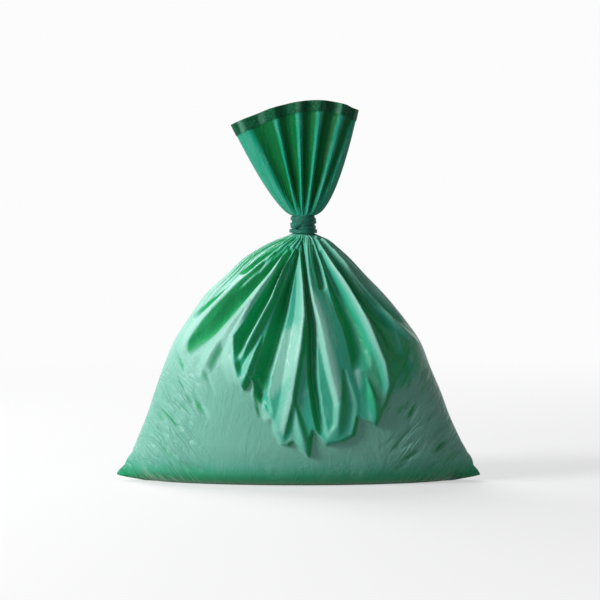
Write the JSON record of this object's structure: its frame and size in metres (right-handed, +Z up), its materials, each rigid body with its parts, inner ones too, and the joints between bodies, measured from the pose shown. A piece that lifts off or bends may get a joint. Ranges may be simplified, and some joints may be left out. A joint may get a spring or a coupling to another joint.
{
  "type": "filled bin bag",
  "caption": "Filled bin bag of thin film, gathered at the neck, tied with a wound strip of the same film, its hemmed mouth flaring open above",
  "frame": {"origin": "on the floor under the middle of the bag", "axes": "+Z up, +X to the right along the bottom weld from corner to corner, front of the bag towards -Y"},
  "size_m": [0.4489, 0.1944, 0.468],
  "materials": {
    "bag_film": "thin green film, crinkled, soft sheen, slightly see-through where single",
    "tie_film": "the same green film, rolled and darker where layered"
  },
  "bodies": {
    "root": {"bag": "bag_film", "neck_tie": "tie_film"}
  },
  "joints": []
}
